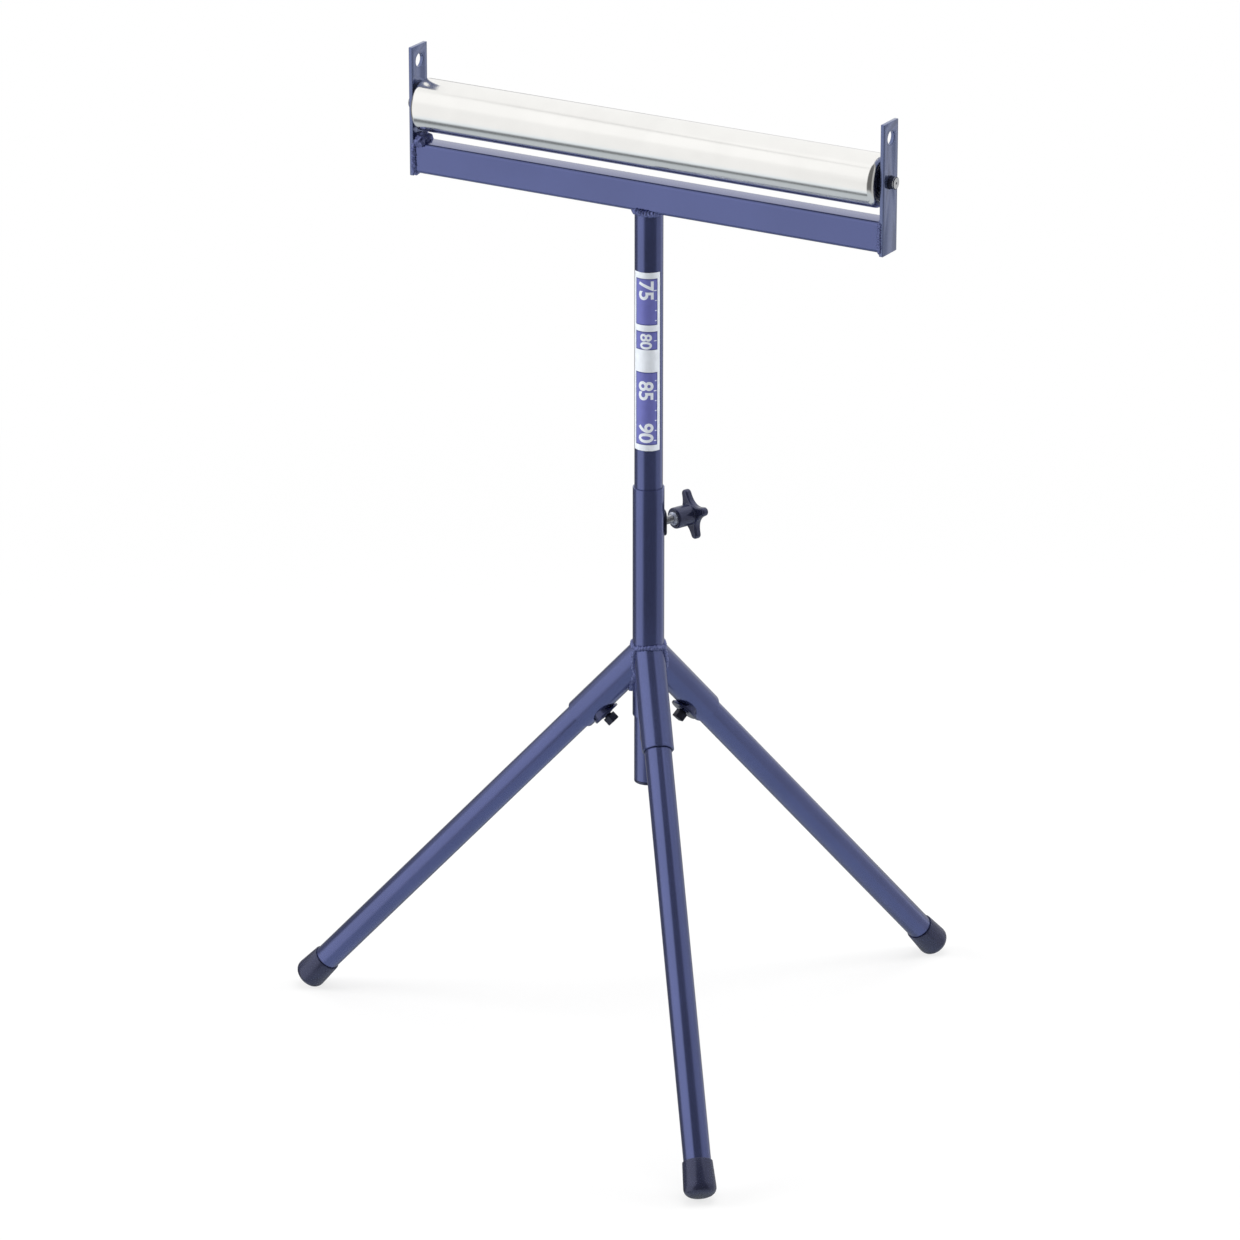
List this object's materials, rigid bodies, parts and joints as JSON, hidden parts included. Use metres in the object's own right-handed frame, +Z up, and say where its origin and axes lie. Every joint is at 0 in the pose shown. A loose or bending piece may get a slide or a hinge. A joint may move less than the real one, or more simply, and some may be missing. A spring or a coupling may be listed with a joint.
{
  "type": "roller stand",
  "caption": "Tripod work-support stand with a height-adjustable, swivelling mast that carries a free-running steel roller between two drilled ears.",
  "frame": {"origin": "on the floor, under the mast's axis", "axes": "+X along the roller towards the right ear, +Y to the back of the stand, +Z up the mast"},
  "size_m": [0.6394, 0.657, 0.9835],
  "materials": {
    "blue_paint": "glossy blue-violet powder coat",
    "zinc_steel": "bright zinc-plated tube",
    "bright_steel": "bright turned steel",
    "black_steel": "black-oxide steel",
    "black_plastic": "moulded black plastic",
    "black_rubber": "satin black rubber"
  },
  "bodies": {
    "base": {"outer_post": "blue_paint", "post_nut": "black_steel", "leg_socket_front": "blue_paint", "leg_socket_right": "blue_paint", "leg_socket_left": "blue_paint", "socket_nut_front": "black_steel", "socket_nut_right": "black_steel", "socket_nut_left": "black_steel"},
    "leg_front": {"leg_tube_front": "blue_paint", "foot_cap_front": "black_rubber"},
    "leg_screw_front": {"leg_clamp_screw_front": "black_steel"},
    "leg_right": {"leg_tube_right": "blue_paint", "foot_cap_right": "black_rubber"},
    "leg_screw_right": {"leg_clamp_screw_right": "black_steel"},
    "leg_left": {"leg_tube_left": "blue_paint", "foot_cap_left": "black_rubber"},
    "leg_screw_left": {"leg_clamp_screw_left": "black_steel"},
    "clamp": {"clamp_stud": "bright_steel"},
    "knob": {"star_knob": "black_plastic", "knob_insert": "bright_steel"},
    "mast_slide": {"mast_end_plug": "black_plastic"},
    "head": {"mast_tube": "blue_paint", "cross_beam": "blue_paint", "ear_left": "blue_paint", "ear_right": "blue_paint", "spring_washer": "bright_steel", "spacer_bush_left": "black_plastic", "spacer_bush_right": "black_plastic", "bearing_inner_ring_left": "bright_steel", "bearing_inner_ring_right": "bright_steel"},
    "roller": {"roller_tube": "zinc_steel", "bearing_housing_left": "black_plastic", "bearing_housing_right": "black_plastic", "dust_seal_left": "black_plastic", "dust_seal_right": "black_plastic", "bearing_outer_ring_left": "bright_steel", "bearing_outer_ring_right": "bright_steel"},
    "axle": {"roller_axle": "black_steel", "spring_clip": "bright_steel", "stop_clip": "bright_steel", "axle_spring": "bright_steel"},
    "balls_left": {"ball_cage_left": "bright_steel", "ball_left_1": "bright_steel", "ball_left_2": "bright_steel", "ball_left_3": "bright_steel", "ball_left_4": "bright_steel", "ball_left_5": "bright_steel", "ball_left_6": "bright_steel", "ball_left_7": "bright_steel"},
    "balls_right": {"ball_cage_right": "bright_steel", "ball_right_1": "bright_steel", "ball_right_2": "bright_steel", "ball_right_3": "bright_steel", "ball_right_4": "bright_steel", "ball_right_5": "bright_steel", "ball_right_6": "bright_steel", "ball_right_7": "bright_steel"}
  },
  "joints": [
    {"name": "mast_height", "type": "slide", "parent": "base", "child": "mast_slide", "axis": [0, 0, 1], "range_m": [-0.262, 0.17]},
    {"name": "mast_swivel", "type": "hinge", "parent": "mast_slide", "child": "head", "pos_m": [0, 0, 0.5], "axis": [0, 0, 1], "continuous": true},
    {"name": "knob_turn", "type": "hinge", "parent": "clamp", "child": "knob", "pos_m": [0, 0, 0.54231], "axis": [0.3795, 0.9252, 0], "range_deg": [0, 1080]},
    {"name": "clamp_advance", "type": "slide", "parent": "base", "child": "clamp", "axis": [0.3795, 0.9252, 0], "range_m": [0, 0.00375]},
    {"name": "roller_spin", "type": "hinge", "parent": "head", "child": "roller", "pos_m": [0, 0, 0.9254], "axis": [1, 0, 0], "continuous": true},
    {"name": "axle_push", "type": "slide", "parent": "head", "child": "axle", "axis": [1, 0, 0], "range_m": [-0.0115, 0], "stiffness_N_per_m": 1800, "springref_m": 0.008, "deforming": ["axle_spring"]},
    {"name": "balls_left_run", "type": "hinge", "parent": "head", "child": "balls_left", "pos_m": [0, 0, 0.9254], "axis": [1, 0, 0], "continuous": true},
    {"name": "balls_right_run", "type": "hinge", "parent": "head", "child": "balls_right", "pos_m": [0, 0, 0.9254], "axis": [1, 0, 0], "continuous": true},
    {"name": "leg_front_pull", "type": "slide", "parent": "base", "child": "leg_front", "axis": [0.4111, -0.5319, -0.7403], "range_m": [0, 0.04]},
    {"name": "leg_screw_front_turn", "type": "hinge", "parent": "base", "child": "leg_screw_front", "pos_m": [0.03453, -0.04468, 0.35302], "axis": [-0.4527, 0.5858, -0.6722], "range_deg": [0, 720]},
    {"name": "leg_right_pull", "type": "slide", "parent": "base", "child": "leg_right", "axis": [0.2551, 0.622, -0.7403], "range_m": [0, 0.04]},
    {"name": "leg_screw_right_turn", "type": "hinge", "parent": "base", "child": "leg_screw_right", "pos_m": [0.02143, 0.05224, 0.35302], "axis": [-0.2809, -0.685, -0.6722], "range_deg": [0, 720]},
    {"name": "leg_left_pull", "type": "slide", "parent": "base", "child": "leg_left", "axis": [-0.6662, -0.0901, -0.7403], "range_m": [0, 0.04]},
    {"name": "leg_screw_left_turn", "type": "hinge", "parent": "base", "child": "leg_screw_left", "pos_m": [-0.05596, -0.00757, 0.35302], "axis": [0.7337, 0.0992, -0.6722], "range_deg": [0, 720]}
  ],
  "couplings": [
    {"joint": "knob_turn", "follows": "clamp_advance", "rad_per_m": 5026.5},
    {"joint": "balls_left_run", "follows": "roller_spin", "ratio": 0.635},
    {"joint": "balls_right_run", "follows": "roller_spin", "ratio": 0.635}
  ]
}
